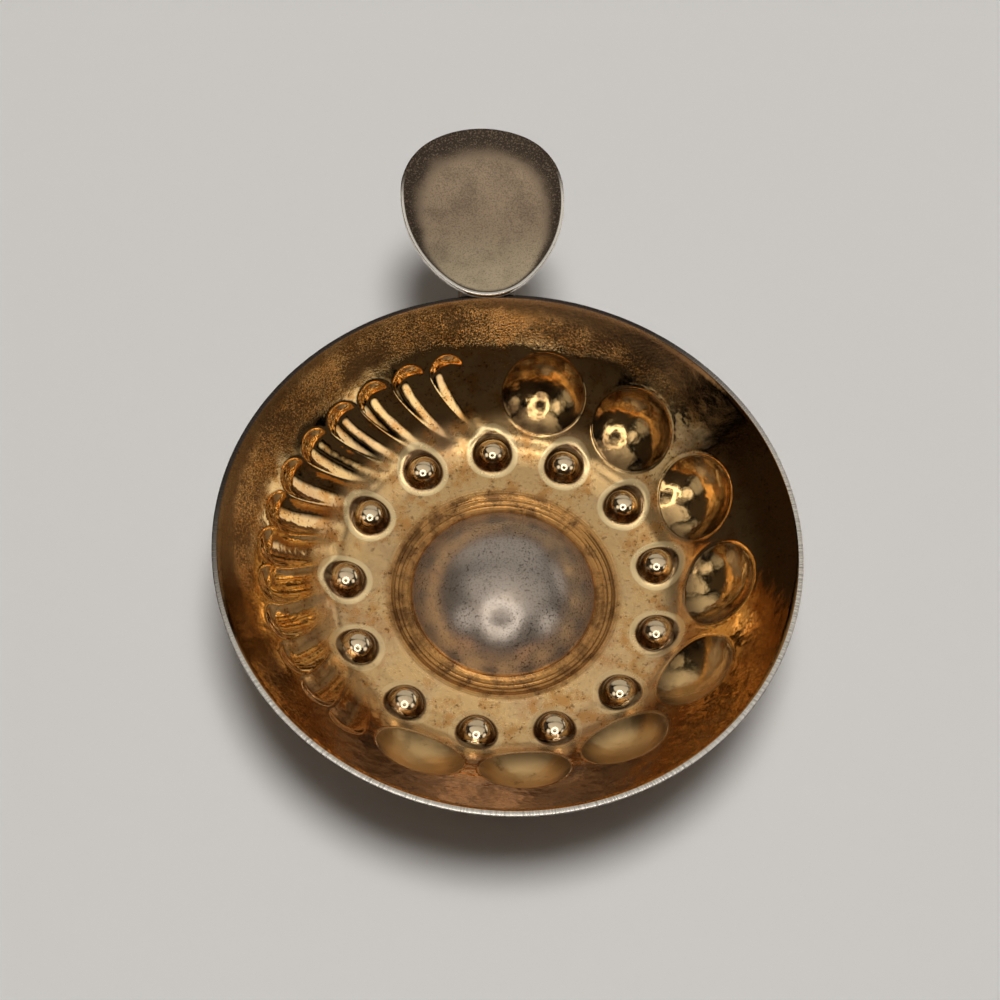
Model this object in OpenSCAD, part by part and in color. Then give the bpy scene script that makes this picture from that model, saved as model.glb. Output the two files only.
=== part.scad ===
// Tastevin: a shallow wine-tasting cup raised from one sheet of silver, chased with pearls,
// round cupules and slanted flutes, with a finger ring and a dished thumb rest soldered on.
// Millimetres. The cup's axis is Z, it rests on Z = 0, and the handle points along +Y.

/* [Cup] */
// diameter over the filed rim
rim_d = 74.5; // [70:0.5:84]
// height of the rim over the table
cup_h = 17; // [15:0.25:19]
// thickness of the silver sheet
sheet = 0.7; // [0.5:0.05:0.9]
// width of the flat filed on top of the rim
rim_land = 0.65; // [0.45:0.05:0.9]
// slope of the wall, from the table
wall_angle = 46.7; // [44:0.1:52]
// radius of the bend between floor and wall
bend_r = 6; // [4:0.25:8]

/* [Centre] */
// diameter of the central dome at its foot
dome_d = 24; // [20:0.25:26]
// height of the dome over the floor
dome_h = 6.5; // [4:0.25:8]
// width of the channel around the dome
moat_w = 3.6; // [3:0.1:4]
// depth of the channel below the floor
moat_depth = 0.7; // [0.5:0.05:0.9]

/* [Pearls] */
// pearls around the floor
pearl_n = 13; // [10:1:15]
// diameter of a pearl at its foot
pearl_d = 6; // [5:0.1:6.6]
// height of a pearl over the floor
pearl_h = 2.4; // [1.6:0.1:2.8]
// pearl ring's distance inside the foot of the wall
pearl_inset = 0.9; // [0.5:0.1:1.5]

/* [Cupules] */
// round hollows on the wall
cupule_n = 8; // [6:1:8]
// diameter of a hollow
cupule_d = 11.4; // [9:0.1:12]
// depth of a hollow
cupule_depth = 2; // [1.2:0.1:2.6]
// direction of the first hollow, from +X towards the handle
cupule_first = 75; // [73:0.5:77]
// degrees from one hollow to the next
cupule_pitch = 27.4; // [25:0.1:28]
// metal along the wall between its foot and the chasing
chase_gap = 2.9; // [2.6:0.1:4]

/* [Flutes] */
// slanted flutes on the rest of the wall
flute_n = 13; // [11:1:15]
// radius of a flute at its round outer end
flute_r = 4.2; // [3.4:0.1:4.8]
// depth of a flute at its outer end
flute_depth = 1.6; // [1:0.05:1.8]
// radius of a flute where it comes out of the wall
flute_tip_r = 2.4; // [1.6:0.1:3]
// degrees by which the inner end is turned
flute_swirl = 7.7; // [0:0.1:10]
// plain wall between the first hollow and the first flute, in degrees
land_first = 8.7; // [4:0.1:10]
// plain wall between the last flute and the last hollow, in degrees
land_last = 2; // [1:0.1:6]

/* [Thumb rest] */
// length of the plate from the rim outwards
rest_l = 25.4; // [22:0.1:28]
// width of the plate
rest_w = 22.5; // [20:0.1:25]
// thickness of the plate
rest_t = 0.9; // [0.7:0.05:1.2]
// radius to which the plate is dished
rest_dish_r = 61; // [50:1:80]
// radius of the outline at the rim
rest_tip_r = 7.7; // [6:0.1:9]
// radius of the outline at the two outer corners
rest_corner_r = 9.15; // [7:0.05:10]
// radius of the outline along the sides
rest_side_r = 17; // [15.5:0.1:24]
// radius of the outline at the outer end
rest_end_r = 14; // [13:0.1:18]

/* [Finger ring] */
// width of the strap
ring_w = 6; // [4.5:0.1:7]
// thickness of the strap
ring_t = 1.1; // [0.8:0.05:1.4]
// straight length between the ring's two round ends
ring_straight = 5; // [3:0.25:7]
// rise of the ring away from the cup, in degrees
ring_tilt = 5.6; // [4:0.1:7]
// room between the ring and the table
ring_lift = 0.4; // [0.2:0.05:1]

/* [Solder] */
// layer of solder between two pieces
seam = 0.1; // [0.05:0.01:0.2]
// how far the solder spreads beside a seam
solder_spread = 0.6; // [0.4:0.05:0.9]
// reach of the solder between ring and wall
solder_reach = 2.2; // [1.6:0.1:2.6]

/* [Hidden] */
$fn = 96;
flute_blend = 0.985;
fine = 256;

// rim and wall, in the plane of the cup's axis
rim_r = rim_d / 2;
rim_in = rim_r - rim_land;
floor_z = sheet + moat_depth;
foot_r = rim_in - (cup_h - floor_z) / tan(wall_angle);
bend_len = bend_r * tan(wall_angle / 2);
bend_x = foot_r - bend_len;
up = [cos(wall_angle), sin(wall_angle)];
inward = [-sin(wall_angle), cos(wall_angle)];
room_top = cup_h + 2 * cupule_d;
function wall_pt(s, lift) = [foot_r, floor_z] + s * up + lift * inward;
function around(p, az) = [p[0] * cos(az), p[0] * sin(az), p[1]];

// dome and channel
dome_r = dome_d / 2;
dome_R = (dome_r * dome_r + dome_h * dome_h) / (2 * dome_h);
dome_z = floor_z + dome_h - dome_R;
moat_r = dome_r + moat_w;

// pearls
pearl_R = (pearl_d * pearl_d / 4 + pearl_h * pearl_h) / (2 * pearl_h);
pearl_x = foot_r - pearl_inset;
pearl_rise = pearl_x > bend_x ? bend_r - sqrt(bend_r * bend_r - pow(pearl_x - bend_x, 2)) : 0;
pearl_z = floor_z + pearl_rise + pearl_h - pearl_R;

// cupules
cupule_R = (cupule_d * cupule_d / 4 + cupule_depth * cupule_depth) / (2 * cupule_depth);
cupule_s = chase_gap + cupule_d / 2;
cupule_c = wall_pt(cupule_s, cupule_R - cupule_depth);
cupule_half = asin(cupule_d / 2 / wall_pt(cupule_s, 0)[0]);

// flutes: a ball at the outer end and a cone that comes out of the wall at the inner end
flute_half = sqrt(flute_r * flute_r - pow(flute_r - flute_depth, 2));
flute_c = wall_pt(chase_gap + cupule_d - flute_half, flute_r - flute_depth);
tip_c = wall_pt(chase_gap, flute_tip_r);
flute_start = cupule_first + cupule_half + land_first;
flute_end = cupule_first + 360 - (cupule_n - 1) * cupule_pitch - cupule_half - land_last;
flute_pitch = (flute_end - flute_start) / flute_n;
function flute_az(i) = flute_start + (i + 0.5) * flute_pitch;

// thumb rest: a dished plate whose inner end lies level on the rim
rest_y = rim_in;
rest_tilt = asin(rest_l / 2 / rest_dish_r);
dish_y = rim_r - rim_land / 2;
dish_z = cup_h + seam + rest_t + rest_dish_r;
under_R = rest_dish_r + rest_t;
rim_drop = cup_h - rim_land;
corner_s = rest_w / 2 - rest_corner_r;
corner_u = rest_l - rest_end_r + sqrt(pow(rest_end_r - rest_corner_r, 2) - corner_s * corner_s);
tip_pt = [rest_tip_r, 0];
corner_pt = [corner_u, corner_s];
end_pt = [rest_l - rest_end_r, 0];
side_pt = far_centre(tip_pt, rest_side_r - rest_tip_r, corner_pt, rest_side_r - rest_corner_r);

// centre of a circle that holds circles a and b inside, on the far side of the axis
function far_centre(a, da, b, db) =
    let(v = b - a, d = norm(v), e = v / d, x = (d * d + da * da - db * db) / (2 * d))
    a + x * e - sqrt(da * da - x * x) * [-e[1], e[0]];
function touch(big, R, small) = big + R * (small - big) / norm(small - big);

// finger ring: tangent to the wall, to the plate and to the room left over the table
out = [sin(wall_angle), -cos(wall_angle)];
wall_0 = wall_pt(0, -sheet);
e1 = [cos(ring_tilt), sin(ring_tilt)];
e2 = [-sin(ring_tilt), cos(ring_tilt)];
function ring_c(r) = let(z = ring_lift + r)
    [(r + seam - (z - wall_0[1]) * out[1]) / out[0] + wall_0[0], z];
function ring_miss(r) = ([dish_y, dish_z] - ring_c(r)) * e2 - under_R - seam - r;
ring_R = -ring_miss(0) / (ring_miss(1) - ring_miss(0));
ring_in = ring_c(ring_R);
ring_out = ring_in + ring_straight * e1;
ring_touch = ring_in - ring_R * out;

// the cup's inside for off = 0 and its outside for off = sheet, filled up to top, without the dome
function room(off, top) =
    let(c = [bend_x, floor_z + bend_r], n = 6,
        knee = c + (bend_r + off) * out,
        head = knee + (top - knee[1]) / up[1] * up)
    concat([[0, sheet - off], [moat_r - moat_depth, sheet - off], [moat_r + off / 2, floor_z - off]],
        [for (i = [0 : n]) let(a = wall_angle * i / n) c + (bend_r + off) * [sin(a), -cos(a)]],
        [head, [0, top]]);

// a ball at p1 and a cone from it to p2, carried on until it is clear of the wall
module drop(p1, r1, p2, r2) {
    v = p2 - p1;
    l = norm(v);
    s = (r1 - r2) / l;
    c = sqrt(1 - s * s);
    r0 = r1 * (flute_blend - s * s) / c;
    l2 = l + r2;
    translate(p1) {
        sphere(r1);
        rotate([0, acos(v[2] / l), atan2(v[1], v[0])]) translate([0, 0, r1 * s])
            cylinder(r1 = r0, r2 = r0 - (l2 - r1 * s) * s / c, h = l2 - r1 * s);
    }
}

module hollows(off) {
    for (i = [0 : cupule_n - 1])
        rotate(cupule_first - i * cupule_pitch) translate([cupule_c[0], 0, cupule_c[1]])
            rotate([90, 0, 0]) sphere(cupule_R + off);
    for (i = [0 : flute_n - 1])
        drop(around(flute_c, flute_az(i)), flute_r + off,
            around(tip_c, flute_az(i) - flute_swirl), flute_tip_r + off);
}

module pearls(off) {
    for (i = [0 : pearl_n - 1])
        rotate(90 + i * 360 / pearl_n) translate([pearl_x, 0, pearl_z]) sphere(pearl_R - off);
}

// the whole cup, filled, with its rim turned to size
module cup_outside() {
    intersection() {
        rotate_extrude() polygon(room(sheet, cup_h));
        cylinder(r = rim_r, h = cup_h);
    }
}

module bowl() {
    color("goldenrod") difference() {
        union() {
            cup_outside();
            hollows(sheet);
        }
        pearls(sheet);
        translate([0, 0, dome_z]) sphere(dome_R - sheet);
        difference() {
            union() {
                rotate_extrude() polygon(room(0, room_top));
                hollows(0);
            }
            pearls(0);
            translate([0, 0, dome_z]) sphere(dome_R);
        }
    }
}

// outline of the plate: two corners and a tip joined by flatter arcs
function arc(c, r, from, to, n) =
    let(a = atan2(from[1] - c[1], from[0] - c[0]), b = atan2(to[1] - c[1], to[0] - c[0]))
    [for (i = [0 : n - 1]) c + r * [cos(a + (b - a) * i / n), sin(a + (b - a) * i / n)]];
function mirrored(p) = [for (i = [len(p) - 2 : -1 : 1]) [p[i][0], -p[i][1]]];
rest_half =
    let(a = touch(side_pt, rest_side_r, tip_pt), b = touch(side_pt, rest_side_r, corner_pt),
        c = touch(end_pt, rest_end_r, corner_pt))
    concat(arc(tip_pt, rest_tip_r, [0, 0.0001], a, 14), arc(side_pt, rest_side_r, a, b, 14),
        arc(corner_pt, rest_corner_r, b, c, 14), arc(end_pt, rest_end_r, c, [rest_l, 0], 8),
        [[rest_l, 0]]);

// a prism of the plate's outline, square to the plate
module rest_prism() {
    translate([0, rest_y, cup_h + seam]) rotate([rest_tilt, 0, 0]) rotate([0, 0, 90])
        translate([0, 0, -rest_l / 2]) linear_extrude(rest_l)
            polygon(concat(rest_half, mirrored(rest_half)));
}

module thumb_rest() {
    color("silver") difference() {
        intersection() {
            translate([0, dish_y, dish_z]) sphere(under_R, $fn = fine);
            rest_prism();
        }
        translate([0, dish_y, dish_z]) sphere(rest_dish_r, $fn = fine);
    }
}

// the space above a surface that follows the plate's underside, drop lower
module over_rest(drop) {
    step = 0.8;
    r = (under_R + drop) / cos(step / 2);
    translate([0, dish_y, dish_z]) rotate_extrude($fn = fine)
        polygon(concat([[0, 0]], [for (i = [0 : 20]) r * [sin(step * i), -cos(step * i)]]));
}

// a bar across the handle with the ring's outline, grown by off
module ring_bar(off, w) {
    rotate([90, 0, 90]) translate([0, 0, -w / 2]) linear_extrude(w) {
        translate(ring_in) circle(ring_R + off);
        translate(ring_out) circle(ring_R + off);
        translate(ring_in) rotate(ring_tilt)
            translate([0, -ring_R - off]) square([ring_straight, 2 * (ring_R + off)]);
    }
}

module finger_ring() {
    color("gainsboro") difference() {
        ring_bar(0, ring_w);
        ring_bar(-ring_t, ring_w + 2);
    }
}

// solder under the plate's inner end, on the rim and down its outer edge
module solder_rim() {
    w = ring_w + 2 * solder_spread;
    color("lightsteelblue") difference() {
        intersection() {
            translate([-w / 2, rest_y, rim_drop]) cube([w, rim_land + solder_spread, 4 * rim_land]);
            translate([0, rest_y + rest_tip_r, rim_drop])
                cylinder(r = rest_tip_r, h = 4 * rim_land, $fn = fine);
        }
        cup_outside($fn = fine);
        over_rest(0);
        ring_bar(0, w + 2, $fn = fine);
    }
}

// bed of solder between the plate and the top of the ring
module solder_rest() {
    w = ring_w + 2 * solder_spread;
    l = ring_straight + 2 * solder_spread;
    color("lightsteelblue") difference() {
        intersection() {
            over_rest(seam + solder_spread / 2);
            rotate([90, 0, 90]) translate([0, 0, -w / 2]) linear_extrude(w)
                translate(ring_in) rotate(ring_tilt)
                    translate([-solder_spread, 0]) square([l, 2 * ring_R]);
        }
        over_rest(0);
        ring_bar(0, ring_w, $fn = fine);
    }
}

// solder in the narrow gap between the ring and the wall
module solder_wall() {
    w = ring_w + 2 * solder_spread;
    color("lightsteelblue") difference() {
        intersection() {
            translate([-w / 2, ring_touch[0], ring_touch[1]]) rotate([0, 90, 0])
                cylinder(r = solder_reach, h = w, $fn = fine);
            translate([-w, 0, 0]) cube([2 * w, rest_y + rest_l, rim_drop]);
        }
        cup_outside($fn = fine);
        ring_bar(0, w + 2, $fn = fine);
    }
}

bowl();
thumb_rest();
finger_ring();
solder_rim();
solder_rest();
solder_wall();
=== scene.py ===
"""Tastevin: a shallow silver tasting cup, gilt inside and chased with pearls, cupules and flutes.

The packed solids are the frame. Each operator below makes one piece of the cup in metres, in the
frame's own axes: Z is up along the cup's axis and the handle points along +Y.
"""
import math

import bmesh
import bpy
import numpy as np
from bpy.props import FloatProperty, FloatVectorProperty, IntProperty, PointerProperty
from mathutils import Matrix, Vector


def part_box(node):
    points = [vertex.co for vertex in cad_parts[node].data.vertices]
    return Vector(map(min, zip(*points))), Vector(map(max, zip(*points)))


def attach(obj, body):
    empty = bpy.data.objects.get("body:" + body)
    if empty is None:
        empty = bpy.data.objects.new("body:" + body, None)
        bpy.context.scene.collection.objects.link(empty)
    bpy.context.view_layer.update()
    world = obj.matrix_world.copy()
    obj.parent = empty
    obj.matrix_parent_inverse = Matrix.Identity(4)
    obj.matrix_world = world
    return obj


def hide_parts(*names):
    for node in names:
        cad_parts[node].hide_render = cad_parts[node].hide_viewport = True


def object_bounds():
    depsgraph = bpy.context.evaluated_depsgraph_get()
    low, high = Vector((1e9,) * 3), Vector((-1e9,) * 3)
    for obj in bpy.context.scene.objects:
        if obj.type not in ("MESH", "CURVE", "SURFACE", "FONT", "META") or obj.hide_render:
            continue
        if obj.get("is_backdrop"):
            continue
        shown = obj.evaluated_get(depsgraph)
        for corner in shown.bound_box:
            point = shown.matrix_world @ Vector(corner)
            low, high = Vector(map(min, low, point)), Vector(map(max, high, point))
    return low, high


bl_info = {
    "name": "Tastevin",
    "version": (1, 0, 0),
    "blender": (4, 5, 0),
    "location": "3D View > Sidebar > Tastevin",
    "description": "Builds a chased silver tasting cup with a thumb rest and a finger ring",
    "category": "Object",
}

MM = 0.001
WELD = 1e-7  # points closer than this are one point
CENTRE_R = 16 * MM  # the dome and its channel lie inside this radius
FULL_R = 15.9  # millimetres from the axis at which the cup's mesh has all its divisions
FLUTE_POINTS = 20  # points along a flute's line
LAMP_COLOUR = (1.0, 0.985, 0.97, 1)
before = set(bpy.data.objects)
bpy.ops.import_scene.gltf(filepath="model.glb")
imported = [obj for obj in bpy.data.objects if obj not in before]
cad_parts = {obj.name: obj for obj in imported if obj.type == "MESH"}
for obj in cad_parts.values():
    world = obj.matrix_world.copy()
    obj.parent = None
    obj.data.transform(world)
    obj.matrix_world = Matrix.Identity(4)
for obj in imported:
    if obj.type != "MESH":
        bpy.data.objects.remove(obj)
CAD_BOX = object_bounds()


def linear(hex_colour):
    """An sRGB hex value as linear RGBA."""
    srgb = [int(hex_colour[i:i + 2], 16) / 255 for i in (1, 3, 5)]
    rgb = [v / 12.92 if v <= 0.04045 else ((v + 0.055) / 1.055) ** 2.4 for v in srgb]
    return (*rgb, 1.0)


def length(name, description, mm):
    """A length property, given in millimetres."""
    return FloatProperty(name=name, description=description, default=mm * MM, min=0,
                         unit="LENGTH", precision=5)


def angle(name, description, degrees):
    """An angle property, given in degrees."""
    return FloatProperty(name=name, description=description, default=math.radians(degrees),
                         unit="ROTATION")


def count(name, description, number):
    """A whole-number property."""
    return IntProperty(name=name, description=description, default=number, min=1)


def colour(name, description, hex_colour):
    """A colour property, given as an sRGB hex value."""
    return FloatVectorProperty(name=name, description=description, size=4, subtype="COLOR",
                               min=0, max=1, default=linear(hex_colour))


class CupSizes(bpy.types.PropertyGroup):
    """The raised cup: rim, wall, floor, channel and dome."""
    rim_r: length("Rim radius", "Outside radius of the filed rim", 37.25)
    rim_land: length("Rim land", "Width of the flat filed on top of the rim", 0.65)
    rim_edge: length("Rim edge", "Rounding of the rim's edges", 0.12)
    height: length("Height", "Height of the rim over the table", 17)
    sheet: length("Sheet", "Thickness of the silver sheet", 0.7)
    wall: angle("Wall", "Slope of the wall from the table", 46.7)
    bend_r: length("Bend", "Radius of the bend between floor and wall", 6)
    dome_r: length("Dome radius", "Radius of the dome at the floor", 12)
    dome_h: length("Dome height", "Height of the dome over the floor", 6.5)
    moat_w: length("Channel width", "Width of the channel round the dome", 3.6)
    moat_depth: length("Channel depth", "Depth of the channel below the floor", 0.7)
    around: count("Divisions", "Mesh divisions round the cup's wall", 672)


class ChasingSizes(bpy.types.PropertyGroup):
    """The pattern pushed into the sheet."""
    pearls: count("Pearls", "Pearls round the floor", 13)
    pearl_ring: length("Pearl ring", "Radius of the ring of pearls", 21.0)
    pearl_d: length("Pearl diameter", "Diameter of a pearl at its foot", 4.8)
    pearl_h: length("Pearl height", "Height of a pearl over its foot", 2.4)
    pearl_lift: length("Pearl lift", "Height of a pearl's foot over the floor", 0.24)
    cupules: count("Cupules", "Round hollows on the wall", 8)
    cupule_d: length("Cupule diameter", "Diameter of a hollow", 11.4)
    cupule_depth: length("Cupule depth", "Depth of a hollow", 2)
    cupule_first: angle("First cupule", "Direction of the first hollow from +X", 75)
    cupule_pitch: angle("Cupule pitch", "Angle from one hollow to the next", 27.4)
    chase_gap: length("Gap", "Wall between its foot and the chasing", 2.9)
    flutes: count("Flutes", "Slanted flutes on the wall", 13)
    flute_first: angle("First flute", "Direction of the first ridge from +X", 95.5)
    flute_pitch: angle("Flute pitch", "Angle from one flute to the next", 10.3)
    flute_depth: length("Flute depth", "Depth of a flute at its outer end", 0.65)
    flute_half: length("Flute half width", "Half width of a flute at its outer end", 2.6)
    flute_tip: length("Flute tip", "Radius at which a flute runs out", 23.2)
    flute_lead: angle("Flute lead", "Turn of a flute's outer end", 0.6)
    flute_sweep: angle("Flute sweep", "Turn of a flute from its outer end to its tip", 10.6)
    rib: length("Rib", "Height of the metal thrown up round a hollow", 0.03)
    rib_gap: length("Rib gap", "Distance of the rib from its hollow", 0.2)
    rib_half: length("Rib half width", "Half width of the rib", 0.45)
    fillet: length("Fillet", "Height of the fillet at a pearl's foot", 0.6)
    fillet_w: length("Fillet width", "Width of the fillet at a pearl's foot", 1.5)
    edge: length("Crisp edge", "Rounding of the flutes' edges", 0.1)
    soft_edge: length("Soft edge", "Rounding of the pearls' feet and the hollows' edges", 0.5)


class HandleSizes(bpy.types.PropertyGroup):
    """Thumb rest, finger ring and solder."""
    rest_l: length("Rest length", "Length of the plate from the rim outwards", 25.4)
    rest_w: length("Rest width", "Width of the plate", 22.5)
    rest_t: length("Rest thickness", "Thickness of the plate", 0.9)
    rest_edge: length("Rest edge", "Rounding of the plate's edge", 0.22)
    rest_dish_r: length("Dish radius", "Radius to which the plate is dished", 61)
    rest_tip_r: length("Tip radius", "Outline radius at the rim", 7.7)
    rest_corner_r: length("Corner radius", "Outline radius at the two outer corners", 9.15)
    rest_side_r: length("Side radius", "Outline radius along the sides", 17)
    rest_end_r: length("End radius", "Outline radius at the outer end", 14)
    seam: length("Seam", "Layer of solder between two pieces", 0.1)
    ring_w: length("Ring width", "Width of the strap", 6)
    ring_t: length("Ring thickness", "Thickness of the strap", 1.1)
    ring_r: length("Ring radius", "Outside radius of the ring's round ends", 8.3507)
    ring_straight: length("Ring straight", "Straight length between the round ends", 5)
    ring_tilt: angle("Ring tilt", "Rise of the ring away from the cup", 5.6)
    ring_edge: length("Ring edge", "Rounding of the strap's edges", 0.3)


class Finishes(bpy.types.PropertyGroup):
    """Colours of the metal and of what lies on it."""
    gilt: colour("Gilding", "Pale worn gilding", "#DDB67A")
    deep_gilt: colour("Deep gilding", "Thicker gilding left in the hollows", "#BE8440")
    worn: colour("Worn gilding", "Silver showing through the gilding", "#D2BE9C")
    # painted highlight: this pale gold is laid as a ring round each pearl's foot, in place of its
    # highlight
    bright: colour("Bright gilding", "Gilding kept clean round the pearls", "#EED39C")
    tarnish: colour("Tarnish", "Brown tarnish", "#3E2817")
    dome: colour("Dome", "Grey silver of the rubbed dome", "#A5988A")
    silver: colour("Silver", "Tarnished silver", "#A48E74")
    silver_dark: colour("Dark silver", "Heavy tarnish on silver", "#352C25")
    filed: colour("Filed silver", "Bright filed rim", "#E2DACC")
    solder: colour("Solder", "Dull silver solder", "#9A9184")
    floor: colour("Floor", "Pale studio floor", "#F2F1EF")


# Nodes and meshes

def add(tree, kind, links=(), out=0, **settings):
    """Adds a node, sets it up, fills its inputs, by name or in order, with values or sockets, and
    returns one output."""
    node = tree.nodes.new(kind)
    for name, value in settings.items():
        setattr(node, name, value)
    for socket, value in links.items() if isinstance(links, dict) else enumerate(links):
        if isinstance(value, bpy.types.NodeSocket):
            tree.links.new(value, node.inputs[socket])
        else:
            node.inputs[socket].default_value = value
    return node.outputs[out] if len(node.outputs) else node


def emptied(data):
    """The node tree of a material or a world, switched on and emptied."""
    data.use_nodes = True
    data.node_tree.nodes.clear()
    return data.node_tree


def new_mesh(name, co, faces):
    """A mesh of points and faces."""
    mesh = bpy.data.meshes.new(name)
    mesh.from_pydata(np.asarray(co, float).tolist(), [], faces)
    return mesh


def new_plane(name, x, y):
    """A flat rectangle from -x to x and from -y to y."""
    return new_mesh(name, [(-x, -y, 0), (x, -y, 0), (x, y, 0), (-x, y, 0)], [(0, 1, 2, 3)])


def new_object(name, mesh):
    """Links a new mesh object at the origin."""
    obj = bpy.data.objects.new(name, mesh)
    bpy.context.scene.collection.objects.link(obj)
    return obj


def ring_points(r, z, n):
    """Points spaced evenly round the Z axis."""
    turn = np.arange(n) * 2 * math.pi / n
    return np.stack([r * np.cos(turn), r * np.sin(turn), np.full(n, z)], 1)


def skin(counts, closed=True):
    """Faces over rings of points that follow each other, each with as many points as the next one,
    half as many or twice as many. A closed skin ends in two tips, which are the last two points."""
    starts = np.cumsum([0] + counts).tolist()
    faces = []
    for n, m, p, q in zip(counts, counts[1:], starts, starts[1:]):
        few = min(n, m)
        fine, coarse = (p, q) if n > m else (q, p)
        for i in range(few):
            j = (i + 1) % few
            if n == m:
                faces.append((p + i, p + j, q + j, q + i))
            else:
                a, b, c = fine + 2 * i, fine + 2 * i + 1, fine + 2 * j
                faces += [(a, b, coarse + i), (b, coarse + j, coarse + i), (b, c, coarse + j)]
    if closed:
        tip = starts[-1]
        for start, n in ((0, counts[0]), (starts[-2], counts[-1])):
            faces += [(tip, start + i, start + (i + 1) % n) for i in range(n)]
            tip += 1
    return faces


def face_outwards(mesh):
    """Welds a closed mesh's doubled points and turns its faces outwards."""
    bm = bmesh.new()
    bm.from_mesh(mesh)
    bmesh.ops.remove_doubles(bm, verts=bm.verts, dist=WELD)
    bmesh.ops.recalc_face_normals(bm, faces=bm.faces)
    bm.to_mesh(mesh)
    bm.free()
    return mesh


def plain_mesh(obj):
    """Turns an object's evaluated result into its plain mesh and removes its modifiers."""
    graph = bpy.context.evaluated_depsgraph_get()
    mesh = bpy.data.meshes.new_from_object(obj.evaluated_get(graph), preserve_all_data_layers=True,
                                           depsgraph=graph)
    obj.modifiers.clear()
    old, obj.data = obj.data, mesh
    mesh.name = obj.name
    bpy.data.meshes.remove(old)
    mesh.shade_smooth()


def grow(obj, name, nodes, values):
    """Shapes an object by a Geometry Nodes tree with an input for each value. A function adds the
    tree's nodes, and the inputs are set by their identifiers."""
    tree = bpy.data.node_groups.new(name, "GeometryNodeTree")
    for way in ("OUTPUT", "INPUT"):
        tree.interface.new_socket("Geometry", in_out=way, socket_type="NodeSocketGeometry")
    inputs = {}
    for label, value in values.items():
        kind = {int: "Int", float: "Float"}.get(type(value), "Material")
        socket = tree.interface.new_socket(label, in_out="INPUT", socket_type="NodeSocket" + kind)
        inputs[socket.identifier] = value
    nodes(tree, dict(tree.nodes.new("NodeGroupInput").outputs.items()))
    mod = obj.modifiers.new(name, "NODES")
    mod.node_group = tree
    for identifier, value in inputs.items():
        mod[identifier] = value
    plain_mesh(obj)


# Finishes

def new_material(name, marks):
    """A bare metal, and a dict of what its looks read: its coordinates, and noise for each mark. A
    mark is its name, how many millimetres it is across, its detail and its roughness."""
    mat = bpy.data.materials.new(name)
    t = emptied(mat)
    shader = add(t, "ShaderNodeBsdfPrincipled", {"Metallic": 1.0}).node
    add(t, "ShaderNodeOutputMaterial", {"Surface": shader.outputs[0]})
    m = {"object": add(t, "ShaderNodeTexCoord", out="Object")}
    for mark, across, detail, rough in marks:
        m[mark] = add(t, "ShaderNodeTexNoise", {"Vector": m["object"], "Scale": 1 / (across * MM),
                                                "Detail": detail, "Roughness": rough})
    return mat, t, shader, m


def dress(t, shader, m, base, layers, rough, gloss, relief, levels, spans=(), joins=()):
    """Gives a metal its looks. Spans are soft steps along a length in millimetres, and levels along
    a pattern: name, what it follows, start, end, first level, last level, and how if not smooth.
    Joins put masks together one after the other. Layers of colour lie over the base, and gloss over
    the roughness, each by its mask. Relief is pressed in to a depth in millimetres."""
    for unit, steps in ((MM, spans), (1, levels)):
        for name, value, start, end, low, high, *how in steps:
            m[name] = add(t, "ShaderNodeMapRange", [m[value], start * unit, end * unit, low, high],
                          interpolation_type=how[0] if how else "SMOOTHSTEP")
    for name, how, first, *others in joins:
        mask = m[first]
        for other in others:
            mask = add(t, "ShaderNodeMath", [mask, m.get(other, other)], operation=how)
        m[name] = mask
    for name, tint in layers:
        base = add(t, "ShaderNodeMix", {"Factor": m[name], "A": base, "B": tint}, out=2,
                   data_type="RGBA")
    rough = m[rough]
    for name, level in gloss:
        rough = add(t, "ShaderNodeMix", {"Factor": m[name], "A": rough, "B": m.get(level, level)})
    under = {}
    for name, depth in relief:
        under["Normal"] = add(t, "ShaderNodeBump", {"Strength": 1.0, "Distance": depth * MM,
                                                    "Height": m[name], **under})
    for socket, value in {"Base Color": base, "Roughness": rough, **under}.items():
        t.links.new(value, shader.inputs[socket])


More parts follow.
